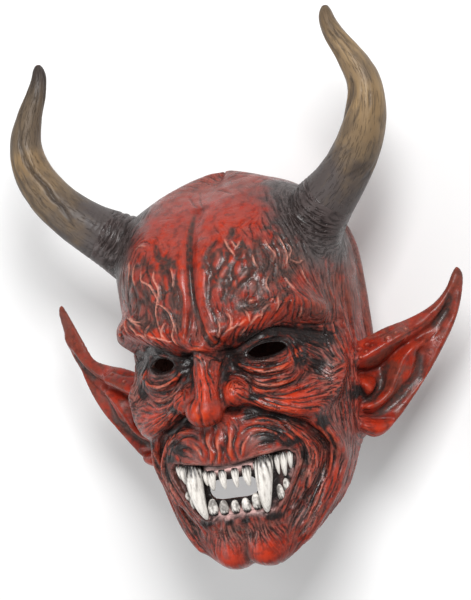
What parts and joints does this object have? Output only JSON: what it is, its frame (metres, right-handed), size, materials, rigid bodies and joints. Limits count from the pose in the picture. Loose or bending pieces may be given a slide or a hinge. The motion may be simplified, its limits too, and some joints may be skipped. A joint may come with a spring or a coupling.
{
  "type": "latex devil mask",
  "caption": "Full-head latex devil mask with curved horns, pointed ears, open eyes and bared fangs, lying face up on the back of its head.",
  "frame": {"origin": "middle of the flat patch on the back of the head that the mask lies on", "axes": "+X to the viewer's right of the face, +Y towards the crown and the horns, +Z out of the face"},
  "size_m": [0.3019, 0.3621, 0.2155],
  "materials": {
    "latex": "satin painted latex, red with a dark wash in the creases"
  },
  "bodies": {
    "root": {"mask": "latex"}
  },
  "joints": []
}
